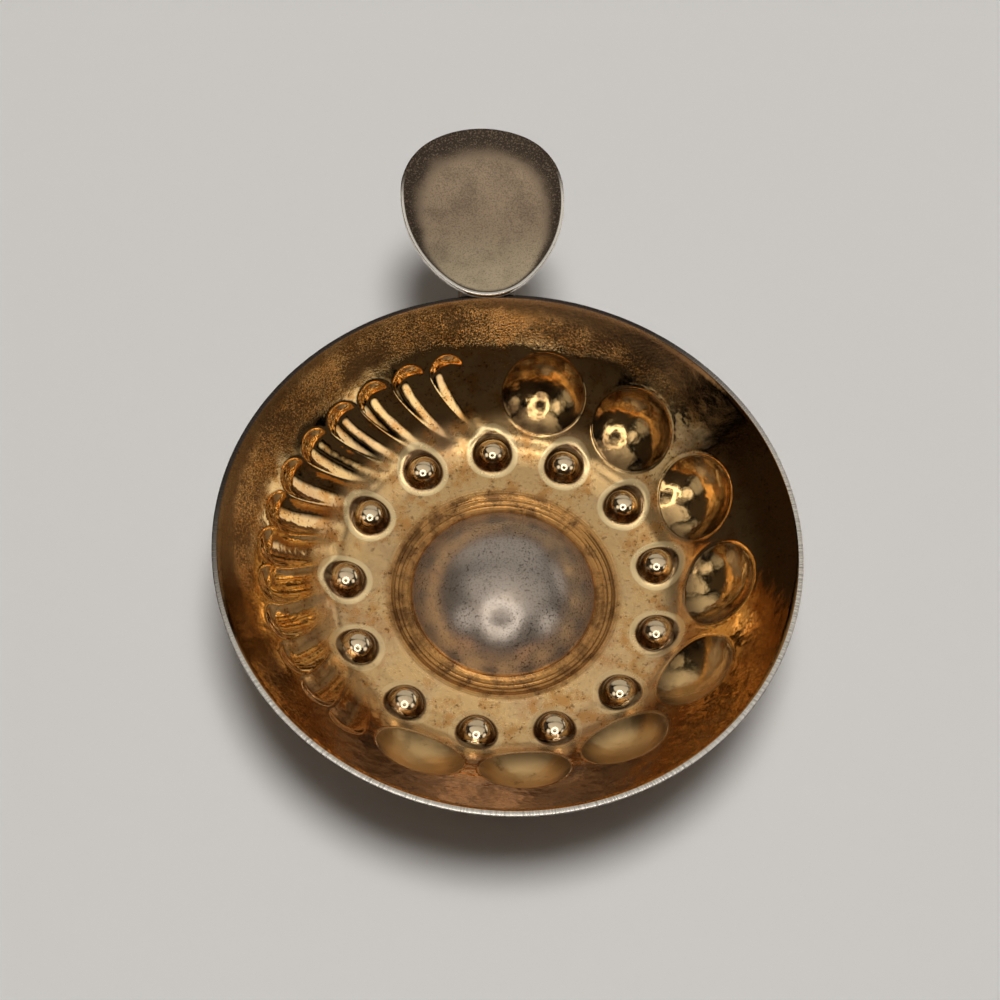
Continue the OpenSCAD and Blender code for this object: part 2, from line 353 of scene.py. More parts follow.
def gilt_inside(f):
    """Silver-gilt, chased and worn: pale gold on the floor, mirror-bright in the cupules and on the
    pearls, orange and crinkled on the plain band under the rim, and rubbed down to grey silver on
    the dome."""
    mat, t, shader, m = new_material("worn silver-gilt, chased", (
        ("wear", 8, 4.0, 0.6), ("stain", 3, 5.0, 0.65), ("pits", 0.4, 2.0, 0.5),
        ("crinkle", 0.24, 3.0, 0.65), ("hammer", 2.2, 2.0, 0.45)))
    for name in ("pearl", "cupule"):
        m[name] = add(t, "ShaderNodeAttribute", out="Fac", attribute_name=name + "_near")
    x, m["y"], _ = add(t, "ShaderNodeSeparateXYZ", [m["object"]]).node.outputs
    flat = add(t, "ShaderNodeCombineXYZ", [x, m["y"]])
    m["r"] = add(t, "ShaderNodeVectorMath", [flat], out="Value", operation="LENGTH")
    for name, way in (("handle", (-0.5, 0.866, 0)), ("right", (0.866, 0.5, 0))):
        m[name] = add(t, "ShaderNodeVectorMath", [flat, way], out="Value", operation="DOT_PRODUCT")
    # handle: 1 towards the handle and a little past it, -1 opposite. The others are uneven radii.
    for name, how, *inputs in (
            ("handle", "DIVIDE", "handle", "r"),
            ("grain", "ADD", "crinkle", "wear"),
            ("wavy r", "MULTIPLY_ADD", "stain", 2.0 * MM, "r"),
            ("rim r", "MULTIPLY_ADD", "handle", -3.2 * MM, "wavy r"),
            ("lap", "MULTIPLY_ADD", "stain", 0.25 * MM, "r")):
        m[name] = add(t, "ShaderNodeMath", [m.get(v, v) for v in inputs], operation=how)
    m["turned"] = add(t, "ShaderNodeTexNoise", {"W": m["lap"], "Scale": 1 / (0.55 * MM),
                                                "Detail": 2.0, "Roughness": 0.5},
                      noise_dimensions="1D")
    spans = (
        ("dome", "r", 12.3, 11.9, 0, 1),
        ("dome metal", "r", 12.3, 11.9, 1, 0.64),
        ("past dome", "r", 11.9, 12.4, 0, 1),
        ("before floor", "r", 16.2, 14.9, 0, 1),
        ("floor metal", "r", 26.2, 24.2, 1, 0.76),
        ("wall", "r", 24.4, 26.4, 0, 1),
        ("upper wall", "wavy r", 29.0, 34.0, 0, 1),
        ("band", "wavy r", 32.5, 34.3, 0, 1),
        # painted shade: a darker strip under the rim, kept to the far side below
        ("painted shade below the rim", "rim r", 32.9, 34.4, 0, 0.8),
        ("away", "right", 10, 30, 0, 0.4),
        ("near side", "y", -10, -24, 0, 0.85),
        ("pearl top", "pearl", 2.1, 1.4, 0, 0.85),
        ("pearl side", "pearl", 1.4, 2.1, 0, 1),
        ("pearl end", "pearl", 2.95, 2.6, 0, 1),
        ("in pearl", "pearl", 2.7, 2.5, 0, 1),
        # the ring round each pearl's foot is a painted highlight, stronger on the far side
        ("pearl highlight inner", "pearl", 2.7, 3.0, 0, 1),
        ("pearl highlight outer", "pearl", 3.7, 3.4, 0, 1),
        ("pearl highlight by side", "y", -18, 4, 0.25, 0.9),
        ("in cupule", "cupule", 5.85, 5.6, 0, 1),
        ("dents", "cupule", 5.85, 5.6, 0.3, 1),
        # painted shade: each cupule darker towards its edge
        ("painted cupule shading", "cupule", 3.0, 5.7, 0, 0.8),
        ("cupule gloss", "y", -10, -22, 0.12, 0.32))
    levels = (
        ("worn patches", "wear", 0.45, 0.7, 0, 0.6),
        ("stains", "stain", 0.45, 0.65, 0, 0.8),
        ("brown", "stain", 0.42, 0.62, 0.15, 0.7),
        ("floor brown", "wear", 0.5, 0.66, 0, 0.5),
        ("specks", "grain", 0.85, 1.15, 0.85, 0.1),
        ("by handle", "handle", 0.15, 0.7, 0.08, 1),
        ("far side", "handle", -0.2, 0.3, 0, 1),
        ("far most", "handle", -0.5, 0.2, 0.35, 1),
        ("rubbed", "wear", 0.2, 0.5, 0.85, 1),
        ("dots", "crinkle", 0.5, 0.66, 0, 1),
        ("dotted", "wear", 0.4, 0.6, 0.25, 0.7),
        ("pitted", "pits", 0.58, 0.68, 0, 1),
        ("pitted most", "stain", 0.38, 0.62, 0.15, 0.75),
        ("spots", "stain", 0.58, 0.7, 0, 0.5),
        ("foot brown", "stain", 0.3, 0.6, 0.75, 0.95),
        ("edge brown", "wear", 0.35, 0.6, 0.6, 1),
        # painted dark reflection: the cupules towards the handle, darkened in blotches
        ("dusk", "handle", -0.1, 0.4, 0, 1),
        ("painted dark reflection cloud", "wear", 0.6, 0.42, 0.15, 0.85),
        ("floor gloss", "stain", 0.3, 0.7, 0.18, 0.3),
        ("wall gloss", "stain", 0.3, 0.7, 0.05, 0.09),
        ("band gloss", "handle", 0.15, 0.7, 0.06, 0.13),
        ("dome gloss", "crinkle", 0.35, 0.65, 0.17, 0.27),
        ("pearl gloss", "stain", 0.3, 0.7, 0.08, 0.15))
    joins = (
        ("channel", "MULTIPLY", "past dome", "before floor"),
        ("channel gilt", "MULTIPLY", "channel", 0.8),
        ("channel brown", "MULTIPLY", "channel", "brown"),
        ("lines", "MULTIPLY", "channel", "turned"),
        ("band gilt", "MULTIPLY", "band", 0.75),
        # painted shade: a darker strip under the rim on the far side only, joined to the brown
        # specks
        ("painted shade below the rim", "MULTIPLY", "painted shade below the rim", "far side"),
        ("band brown", "MULTIPLY", "band", "specks", "far most"),
        ("band brown", "MAXIMUM", "band brown", "painted shade below the rim"),
        # painted dark reflection: the upper wall darkened on the right side
        ("painted dark right side", "MULTIPLY", "upper wall", "away"),
        # painted reflection: the near wall tinted orange and blotched dark brown, stains that stand
        # in for its dark reflections too
        ("near wall", "MULTIPLY", "wall", "near side"),
        ("near stain and dark reflection", "MULTIPLY", "near wall", "brown"),
        ("dome grey", "MULTIPLY", "dome", "rubbed"),
        ("dome dots", "MULTIPLY", "dots", "dotted", "dome"),
        ("pitted", "MULTIPLY", "pitted", "pitted most"),
        ("pearl foot", "MULTIPLY", "pearl side", "pearl end", "foot brown"),
        # painted highlight: a cream ring round each pearl's foot, stronger on the far side and made
        # less metallic, so it shows pale under the lamps
        ("pearl ring", "MULTIPLY", "pearl highlight inner", "pearl highlight outer", "pearl highlight by side"),
        ("pearl highlight film", "MULTIPLY", "pearl ring", 0.25),
        ("cupule spots", "MULTIPLY", "in cupule", "spots"),
        # painted shade: each cupule darkened towards its edge, broken up by wear noise
        ("painted cupule shading", "MULTIPLY", "painted cupule shading", "edge brown", "in cupule"),
        # painted dark reflection: the cupules towards the handle, darkened in blotches
        ("dusk", "MULTIPLY", "dusk", "painted dark reflection cloud", "in cupule"),
        ("bright", "MAXIMUM", "in pearl", "in cupule"),
        ("metal", "MAXIMUM", "floor metal", "bright"),
        ("metal", "MINIMUM", "metal", "dome metal"),
        ("metal", "SUBTRACT", "metal", "pearl highlight film"),
        ("dome skin", "MULTIPLY", "dome", 0.3),
        ("bright skin", "MULTIPLY", "bright", 0.12),
        ("band skin", "MULTIPLY", "band", "by handle"),
        ("skin", "MAXIMUM", "band skin", "dome skin", "bright skin"),
        ("skin", "MULTIPLY", "skin", "crinkle"),
        ("dents", "MAXIMUM", "dents", "near wall"),
        ("dents", "MULTIPLY", "dents", "hammer"))
    layers = (
        ("worn patches", f.worn), ("stains", f.deep_gilt), ("floor brown", f.deep_gilt),
        # painted reflection: the orange tint and dark blotches on the near wall
        ("near wall", f.deep_gilt), ("near stain and dark reflection", f.tarnish), ("channel gilt", f.deep_gilt),
        # the band's brown holds the painted shade under the far rim
        ("band gilt", f.deep_gilt), ("channel brown", f.tarnish), ("band brown", f.tarnish),
        # painted dark reflection on the right of the upper wall
        ("painted dark right side", f.silver_dark), ("dome grey", f.dome), ("dome dots", f.silver_dark),
        # painted shade at the cupules' edges
        ("pitted", f.tarnish), ("in cupule", f.gilt), ("painted cupule shading", f.tarnish),
        # painted dark reflection in the cupules towards the handle
        ("cupule spots", f.tarnish), ("dusk", f.tarnish), ("pearl top", f.worn),
        # the last layer is the painted highlight round the pearls' feet
        ("pearl foot", f.tarnish), ("pearl ring", f.bright))
    gloss = (("wall", "wall gloss"), ("band", "band gloss"), ("dome", "dome gloss"),
             ("in cupule", "cupule gloss"), ("in pearl", "pearl gloss"))
    # crinkled skin, hammer dents, and fine turned lines in the channel
    relief = (("skin", 0.06), ("dents", 0.13), ("lines", 0.25))
    dress(t, shader, m, f.gilt, layers, "floor gloss", gloss, relief, levels, spans, joins)
    t.links.new(m["metal"], shader.inputs["Metallic"])
    return mat


def satin_silver(f, name, base, rough_low, rough_high):
    """Silver gone grey-brown with tarnish and rubbed to a satin: soft broad highlights and fine
    dark mottling."""
    # the grain of rubbed silver is too fine to show, so it is drawn half a millimetre across
    mat, t, shader, m = new_material(name, (("cloud", 5, 5.0, 0.6), ("fine", 0.5, 3.0, 0.6)))
    levels = (("dark", "cloud", 0.4, 0.75, 0, 0.45, "LINEAR"),
              ("speck", "fine", 0.55, 0.75, 0, 0.35, "LINEAR"),
              ("rough", "fine", 0.3, 0.7, rough_low, rough_high, "LINEAR"))
    layers = (("dark", f.silver_dark), ("speck", f.silver_dark))
    dress(t, shader, m, base, layers, "rough", (), (("fine", 0.012),), levels)
    return mat


def thumbed_silver(f):
    """Silver rubbed by a thumb: warm grey satin with a fine grain, polished on its edge, and dark
    and granular along the outer end and the sides. It is painted lighter towards the cup, and its
    edge by the cup is painted pale as well as glossy: painted light and a painted highlight."""
    mat, t, shader, m = new_material("tarnished silver, thumb-worn satin", (
        ("cloud", 4, 3.0, 0.55), ("grain", 0.24, 3.0, 0.65)))
    m["y"] = add(t, "ShaderNodeSeparateXYZ", [m["object"]], out=1)
    m["inset"] = add(t, "ShaderNodeAttribute", out="Fac", attribute_name="inset")
    # the dark border, narrow by the cup and wide at the outer end, with a wavy and grainy boundary
    m["width"] = add(t, "ShaderNodeMapRange", [m["y"], 40 * MM, 60 * MM, 0.7 * MM, 4.2 * MM])
    for how, *inputs in (("DIVIDE", "inset", "width"), ("MULTIPLY_ADD", "cloud", 0.9, "depth"),
                         ("MULTIPLY_ADD", "grain", 1.8, "depth")):
        m["depth"] = add(t, "ShaderNodeMath", [m.get(v, v) for v in inputs], operation=how)
    # painted light: lighter towards the cup, and the edge by the cup painted pale for its highlight
    spans = (("light", "y", 48, 38, 0, 1), ("held", "y", 55, 50, 0, 1),
             ("edge", "inset", 0.4, 0.2, 0, 1))
    levels = (("border", "depth", 2.7, 1.9, 0, 0.95), ("speck", "grain", 0.4, 0.7, 0, 0.45),
              ("glint", "grain", 0.48, 0.36, 0, 0.35), ("patch", "cloud", 0.4, 0.7, 0, 0.3),
              ("rough", "grain", 0.3, 0.7, 0.26, 0.4, "LINEAR"))
    joins = (("edge", "MULTIPLY", "edge", "held"),)
    layers = (("light", f.worn), ("patch", f.silver_dark), ("speck", f.silver_dark),
              ("border", f.silver_dark), ("glint", f.silver), ("edge", f.filed))
    dress(t, shader, m, f.silver, layers, "rough", (("edge", 0.14),), (("grain", 0.025),),
          levels, spans, joins)
    return mat


def filed_rim(f):
    """Bare filed silver: file marks cross the rim about every third of a millimetre, bright where
    the rim is worn, and darkened towards the handle and along its outer edge: painted shade."""
    mat, t, shader, m = new_material("bare silver, filed", (("cloud", 6, 3.0, 0.5),))
    radius, apart = 37.0, 0.35
    x, y, m["z"] = add(t, "ShaderNodeSeparateXYZ", [m["object"]]).node.outputs
    turn = add(t, "ShaderNodeMath", [y, x], operation="ARCTAN2")
    m["marks"] = add(t, "ShaderNodeTexNoise", {"W": turn, "Scale": radius / apart, "Detail": 3.0,
                                               "Roughness": 0.7}, noise_dimensions="1D")
    m["slant"] = add(t, "ShaderNodeVectorMath", [m["object"], (-0.35, 0.94, 0)], out="Value",
                     operation="DOT_PRODUCT")
    # painted shade: darker towards the handle, where the far rim shows dark, and on the outer edge
    # under the top
    spans = (("kept", "slant", -12, 22, 0, 0.98), ("edge", "z", 16.97, 16.85, 0, 1, "LINEAR"))
    levels = (("dark", "marks", 0.4, 0.75, 0, 0.7, "LINEAR"),
              ("light", "cloud", 0.35, 0.65, 0.8, 1, "LINEAR"),
              ("rough", "marks", 0.3, 0.7, 0.16, 0.3, "LINEAR"))
    joins = (("dark", "MULTIPLY", "dark", "light"), ("dark", "MAXIMUM", "dark", "kept", "edge"))
    dress(t, shader, m, f.filed, (("dark", f.silver_dark),), "rough", (), (("marks", 0.04),),
          levels, spans, joins)
    return mat


# Cup

def smooth_max(a, b, k):
    """The larger of two values, rounded over where they are within k of each other."""
    return np.maximum(a, b) + np.maximum(k - np.abs(a - b), 0) ** 2 / (4 * k)


def cup_rings(c):
    """The cup's section as rings from the middle of the inside, over the rim, to the middle of the
    outside. Each ring is (r, z, divisions, zone, bed r, bed z, lift r, lift z): bed is the point of
    the plain inside that it belongs to, lift the direction in which the chasing moves it, and zone
    0 inside, 1 rim and 2 outside."""
    a, e = c.wall, c.rim_edge
    inward = np.array([-math.sin(a), math.cos(a)])
    floor_z = c.sheet + c.moat_depth
    rim_in = c.rim_r - c.rim_land
    foot = rim_in - (c.height - floor_z) / math.tan(a)
    bend_x = foot - c.bend_r * math.tan(a / 2)
    bend_end = bend_x + c.bend_r * math.sin(a)
    dome_R = (c.dome_r ** 2 + c.dome_h ** 2) / (2 * c.dome_h)
    dome_z = floor_z + c.dome_h - dome_R
    # the channel's outer slope, and the rounding where the dome meets its bottom
    slope_r, slope_w, blend = c.dome_r + c.moat_w - 2.2 * MM, 2.4 * MM, 0.5 * MM

    def centre(r, off):
        """Height of the dome and channel at radius r, a distance below the inside."""
        ball = dome_z + np.sqrt(max((dome_R - off) ** 2 - r * r, 0))
        step = np.clip((r - slope_r) / slope_w, 0, 1)
        return smooth_max(ball, c.sheet - off + c.moat_depth * step * step * (3 - 2 * step), blend)

    def bed(r):
        """Height and inward direction of the plain inside at radius r."""
        if r <= bend_x:
            return floor_z, np.array([0.0, 1.0])
        if r <= bend_end:
            s = (r - bend_x) / c.bend_r
            rise = math.sqrt(1 - s * s)
            return floor_z + c.bend_r * (1 - rise), np.array([-s, rise])
        return floor_z + (r - foot) * math.tan(a), inward

    def spaced(stops):
        """Radii with the given spacing between the given stops, all in millimetres."""
        out = [stops[0][0]]
        for (r0, step), (r1, _) in zip(stops, stops[1:]):
            n = max(1, round((r1 - r0) / step))
            out += [r0 + (r1 - r0) * i / n for i in range(1, n + 1)]
        return [r * MM for r in out]

    def side(radii, off, most, zone):
        """Rings at a distance below the plain inside, with fewer divisions towards the middle."""
        for r in radii:
            z, lift = bed(r)
            if r < CENTRE_R:
                n = most
                while r < FULL_R * MM * n / most and n > most / 8:
                    n //= 2
                yield r, centre(r, off), n, zone, r, z, 0.0, 1.0
            else:
                yield r - off * lift[0], z - off * lift[1], most, zone, r, z, lift[0], lift[1]

    inner = spaced([(0.3, 0.55), (11.2, 0.2), (13.0, 0.25), (FULL_R, 0.45), (17.4, 0.22),
                    (24.4, 0.2), (32.4, 0.45), (rim_in / MM - 0.1, 1)])
    outer = spaced([(0.5, 0.9), (11.0, 0.35), (16.2, 0.4), (32.4, 0.7), (rim_in / MM - 0.5, 1)])
    skirt = c.height - (rim_in + c.sheet / math.sin(a) - c.rim_r) * math.tan(a)
    rim = ((rim_in + 0.25 * e, c.height - 0.25 * e, 0),
           (rim_in + e, c.height, 1),
           (c.rim_r - e, c.height, 1),
           (c.rim_r - 0.3 * e, c.height - 0.3 * e, 1),
           (c.rim_r, c.height - e, 1),
           (c.rim_r, skirt + 0.3 * e, 1),
           (c.rim_r - 0.3 * e, skirt - 0.4 * e, 2))
    return [*side(inner, 0, c.around, 0),
            *((r, z, c.around, zone, r, c.height, 0.0, 0.0) for r, z, zone in rim),
            *side(reversed(outer), c.sheet, c.around // 2, 2)]


def cup_blank(c):
    """The plain cup before chasing: a closed skin through all rings, with the attributes that the
    chasing reads."""
    rings = cup_rings(c)
    inner_tip, outer_tip = 0.003 * MM, 0.007 * MM
    co, bed, lift, zone = [], [], [], []
    for r, z, n, side, bed_r, bed_z, lift_r, lift_z in rings:
        co.append(ring_points(r, z, n))
        bed.append(ring_points(bed_r, bed_z, n))
        lift.append(ring_points(lift_r, lift_z, n))
        zone.append(np.full(n, side))
    co.append([(0, 0, rings[0][1] + inner_tip), (0, 0, rings[-1][1] + outer_tip)])
    bed.append([(0, 0, rings[0][5])] * 2)
    lift.append([(0, 0, 0)] * 2)
    zone.append([0, 2])
    mesh = new_mesh("bowl_chased", np.concatenate(co), skin([ring[2] for ring in rings]))
    face_outwards(mesh)
    for name, kind, field, data in (("bed", "FLOAT_VECTOR", "vector", bed),
                                    ("lift", "FLOAT_VECTOR", "vector", lift),
                                    ("zone", "FLOAT", "value", zone)):
        values = np.concatenate(data).astype(np.float32).ravel()
        mesh.attributes.new(name, kind, "POINT").data.foreach_set(field, values)
    return mesh


def chasing(t, g):
    """Geometry Nodes: pushes a ring of pearls up, and a row of cupules and a row of flutes back, by
    the distance of each point from the nearest pearl, cupule or flute line."""
    curl, run_out = 1.5, 0.7  # powers by which a flute's turn and its depth change along it
    cap_drop = 1 / MM  # how steeply a pearl's cap falls outside its ball
    s = dict(g, index=add(t, "GeometryNodeInputIndex"))
    for name, kind in (("bed", "FLOAT_VECTOR"), ("lift", "FLOAT_VECTOR"), ("zone", "FLOAT")):
        s[name] = add(t, "GeometryNodeInputNamedAttribute", {"Name": name}, data_type=kind)
    x, y, s["bed z"] = add(t, "ShaderNodeSeparateXYZ", [s["bed"]]).node.outputs
    plan = add(t, "ShaderNodeCombineXYZ", [x, y])
    radius = add(t, "ShaderNodeVectorMath", [plan], out="Value", operation="LENGTH")
    # where the cupules lie, how one flute's line runs, and how far each flute is turned
    s["along"] = add(t, "ShaderNodeMath", [s["index"], FLUTE_POINTS - 1], operation="DIVIDE")
    for name in ("radius", "height"):
        s["line " + name] = add(t, "ShaderNodeMix", {
            "Factor": s["along"], "A": g["Flute outer " + name], "B": g["Flute tip " + name]})
    for name, how, *inputs in (
            ("turn", "MULTIPLY_ADD", "index", "Cupule step", "Cupule first"),
            ("cos", "COSINE", "turn"),
            ("sin", "SINE", "turn"),
            ("cupule x", "MULTIPLY", "cos", "Cupule radius"),
            ("cupule y", "MULTIPLY", "sin", "Cupule radius"),
            ("turn", "POWER", "along", curl),
            ("turn", "MULTIPLY_ADD", "turn", "Flute sweep", "Flute lead"),
            ("cos", "COSINE", "turn"),
            ("sin", "SINE", "turn"),
            ("line x", "MULTIPLY", "cos", "line radius"),
            ("line y", "MULTIPLY", "sin", "line radius"),
            ("turn", "MULTIPLY_ADD", "index", "Flute step", "Flute first")):
        s[name] = add(t, "ShaderNodeMath", [s.get(v, v) for v in inputs], operation=how)
    ring = add(t, "GeometryNodeMeshCircle", {"Vertices": g["Pearls"], "Radius": g["Pearl ring"]})
    ring = add(t, "GeometryNodeTransform", {"Geometry": ring, "Rotation": (0, 0, math.pi / 2)})
    spot = add(t, "ShaderNodeCombineXYZ", [s["cupule x"], s["cupule y"], g["Cupule height"]])
    spots = add(t, "GeometryNodePoints", {"Count": g["Cupules"], "Position": spot})
    spot = add(t, "ShaderNodeCombineXYZ", [s["line x"], s["line y"], s["line height"]])
    line = add(t, "GeometryNodeMeshLine", {"Count": FLUTE_POINTS})
    line = add(t, "GeometryNodeSetPosition", {"Geometry": line, "Position": spot})
    hubs = add(t, "GeometryNodePoints", {"Count": g["Flutes"]})
    spin = add(t, "ShaderNodeCombineXYZ", {2: s["turn"]})
    lines = add(t, "GeometryNodeInstanceOnPoints", {"Points": hubs, "Instance": line,
                                                    "Rotation": spin})
    lines = add(t, "GeometryNodeRealizeInstances", [lines])
    # how near each point of the blank is to them
    for name, target, place, element in (("near pearl", ring, plan, "POINTS"),
                                         ("near cupule", spots, s["bed"], "POINTS"),
                                         ("near flute", lines, s["bed"], "EDGES")):
        s[name] = add(t, "GeometryNodeProximity", {0: target, "Sample Position": place},
                      out="Distance", target_element=element)
    off = add(t, "ShaderNodeMath", [s["near cupule"], g["Rib radius"]], operation="SUBTRACT")
    off = add(t, "ShaderNodeMath", [off], operation="ABSOLUTE")
    s["rib"] = add(t, "ShaderNodeMapRange", [off, g["Rib half"], 0.0, 0.0, g["Rib"]],
                   interpolation_type="SMOOTHSTEP")
    for name, value, start, end in (("foot", s["near pearl"], "Fillet outer", "Fillet inner"),
                                    ("part", radius, "Flute tip radius", "Flute outer radius")):
        s[name] = add(t, "ShaderNodeMapRange", [value, g[start], g[end]])
    # how far it moves: pearls are balls that come up through the floor, each with a fillet at its
    # foot, cupules are hollow balls, and flutes are hollows that run out towards their tips
    for name, how, *inputs in (
            ("left", "POWER", "near pearl", 2.0),
            ("left", "SUBTRACT", "Pearl square", "left"),
            ("past", "MINIMUM", "left", 0.0),
            ("left", "MAXIMUM", "left", 0.0),
            ("cap", "SQRT", "left"),
            ("cap", "ADD", "cap", "Pearl centre"),
            ("cap", "MULTIPLY_ADD", "past", cap_drop, "cap"),
            ("cap", "SUBTRACT", "cap", "bed z"),
            ("foot", "POWER", "foot", 2.0),
            ("foot", "MULTIPLY", "foot", "Fillet"),
            ("rise", "SMOOTH_MAX", "cap", "foot", "Soft edge"),
            ("left", "POWER", "near cupule", 2.0),
            ("left", "SUBTRACT", "Cupule square", "left"),
            ("left", "MAXIMUM", "left", 0.0),
            ("cap", "SQRT", "left"),
            ("cap", "SUBTRACT", "cap", "Cupule centre"),
            ("cupule", "SMOOTH_MAX", "cap", 0.0, "Soft edge"),
            ("cupule", "SUBTRACT", "cupule", "rib"),
            ("part", "POWER", "part", run_out),
            ("side", "DIVIDE", "near flute", "Flute half"),
            ("side", "POWER", "side", 2.0),
            ("dip", "SUBTRACT", "part", "side"),
            ("dip", "MULTIPLY", "dip", "Flute depth"),
            ("flute", "SMOOTH_MAX", "dip", 0.0, "Edge"),
            ("back", "ADD", "cupule", "flute")):
        s[name] = add(t, "ShaderNodeMath", [s.get(v, v) for v in inputs], operation=how)
    back = add(t, "ShaderNodeVectorMath", {0: s["lift"], "Scale": s["back"]}, operation="SCALE")
    rise = add(t, "ShaderNodeCombineXYZ", {2: s["rise"]})
    move = add(t, "ShaderNodeVectorMath", [rise, back], operation="SUBTRACT")
    geo = g["Geometry"]
    for name in ("pearl", "cupule"):
        geo = add(t, "GeometryNodeStoreNamedAttribute", {
            "Geometry": geo, "Name": name + "_near", "Value": s["near " + name]},
            data_type="FLOAT", domain="POINT")
    geo = add(t, "GeometryNodeSetPosition", {"Geometry": geo, "Offset": move})
    geo = add(t, "GeometryNodeRealizeInstances", [geo])
    geo = add(t, "GeometryNodeSetMaterial", {"Geometry": geo, "Material": g["Inside"]})
    # the faces that join the rim to either side belong to the rim
    for limit, slot in ((0.3, "Rim"), (1.7, "Outside")):
        where = add(t, "FunctionNodeCompare", [s["zone"], limit], operation="GREATER_THAN",
                    data_type="FLOAT")
        geo = add(t, "GeometryNodeSetMaterial", {"Geometry": geo, "Selection": where,
                                                 "Material": g[slot]})
    add(t, "NodeGroupOutput", {"Geometry": geo})


class TASTEVIN_OT_cup(bpy.types.Operator):
    """Raises the cup from one sheet and chases pearls, cupules and flutes into it"""
    bl_idname = "tastevin.cup"
    bl_label = "Cup"

    def execute(self, context):
        scene = context.scene
        c, ch, f = scene.tastevin_cup, scene.tastevin_chasing, scene.tastevin_finish
        obj = new_object("bowl_chased", cup_blank(c))
        out, up = math.cos(c.wall), math.sin(c.wall)
        floor_z = c.sheet + c.moat_depth
        foot = c.rim_r - c.rim_land - (c.height - floor_z) / math.tan(c.wall)
        pearl_ball = (ch.pearl_d ** 2 / 4 + ch.pearl_h ** 2) / (2 * ch.pearl_h)
        cupule_ball = (ch.cupule_d ** 2 / 4 + ch.cupule_depth ** 2) / (2 * ch.cupule_depth)
        fillet_out = ch.pearl_d / 2 + 0.7 * ch.fillet_w  # most of the fillet is outside the ball
        # places up the wall from its foot
        mid = ch.chase_gap + ch.cupule_d / 2
        end = ch.chase_gap + ch.cupule_d - ch.flute_half
        tip = (ch.flute_tip - foot) / out
        grow(obj, "Chasing", chasing, {
            "Pearls": ch.pearls, "Pearl ring": ch.pearl_ring, "Pearl square": pearl_ball ** 2,
            "Pearl centre": floor_z + ch.pearl_lift + ch.pearl_h - pearl_ball,
            "Fillet": ch.fillet, "Fillet outer": fillet_out,
            "Fillet inner": fillet_out - ch.fillet_w,
            "Cupules": ch.cupules, "Cupule first": ch.cupule_first,
            "Cupule step": -ch.cupule_pitch, "Cupule square": cupule_ball ** 2,
            "Cupule centre": cupule_ball - ch.cupule_depth,
            "Cupule radius": foot + mid * out, "Cupule height": floor_z + mid * up,
            "Rib": ch.rib, "Rib half": ch.rib_half, "Rib radius": ch.cupule_d / 2 + ch.rib_gap,
            "Flutes": ch.flutes, "Flute step": ch.flute_pitch,
            "Flute first": ch.flute_first + ch.flute_pitch / 2,
            "Flute outer radius": foot + end * out, "Flute outer height": floor_z + end * up,
            "Flute tip radius": ch.flute_tip, "Flute tip height": floor_z + tip * up,
            "Flute lead": ch.flute_lead, "Flute sweep": -ch.flute_sweep,
            "Flute depth": ch.flute_depth, "Flute half": ch.flute_half,
            "Edge": ch.edge, "Soft edge": ch.soft_edge,
            "Inside": gilt_inside(f), "Rim": filed_rim(f),
            "Outside": satin_silver(f, "tarnished silver, planished", f.silver, 0.22, 0.36)})
        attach(obj, "root")
        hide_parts("bowl")
        return {"FINISHED"}


# Handle

def rest_outline(h, n):
    """Points of the plate's outline in its own plane, from the tip at the rim round and back."""
    arc_points = 60
    tip, end = np.array([h.rest_tip_r, 0]), np.array([h.rest_l - h.rest_end_r, 0])
    cs = h.rest_w / 2 - h.rest_corner_r
    corner = np.array([end[0] + math.sqrt((h.rest_end_r - h.rest_corner_r) ** 2 - cs * cs), cs])
    da, db = h.rest_side_r - h.rest_tip_r, h.rest_side_r - h.rest_corner_r
    v = corner - tip
    d = np.linalg.norm(v)
    e = v / d
    x = (d * d + da * da - db * db) / (2 * d)
    side = tip + x * e - math.sqrt(da * da - x * x) * np.array([-e[1], e[0]])

    def touch(big, radius, small):
        """Where a circle touches a smaller one inside it."""
        return big + radius * (small - big) / np.linalg.norm(small - big)

    stops = [np.array([0, 0]), touch(side, h.rest_side_r, tip), touch(side, h.rest_side_r, corner),
             touch(end, h.rest_end_r, corner), np.array([h.rest_l, 0])]
    arcs = ((tip, h.rest_tip_r), (side, h.rest_side_r), (corner, h.rest_corner_r),
            (end, h.rest_end_r))
    pts = []
    for (c, r), p, q in zip(arcs, stops, stops[1:]):
        a0, a1 = (math.atan2(s[1] - c[1], s[0] - c[0]) for s in (p, q))
        a0 = math.pi if abs(abs(a0) - math.pi) < 1e-6 else a0
        for a in (a0 + (a1 - a0) * i / arc_points for i in range(arc_points)):
            pts.append(c + r * np.array([math.cos(a), math.sin(a)]))
    pts = np.array(pts + [stops[-1]])
    loop = np.concatenate([pts, pts[-2::-1] * [1, -1]])
    steps = np.linalg.norm(np.diff(loop, axis=0), axis=1)
    walk = np.concatenate([[0], np.cumsum(steps)])
    want = np.arange(n) * walk[-1] / n
    return np.stack([np.interp(want, walk, loop[:, k]) for k in (0, 1)], 1)


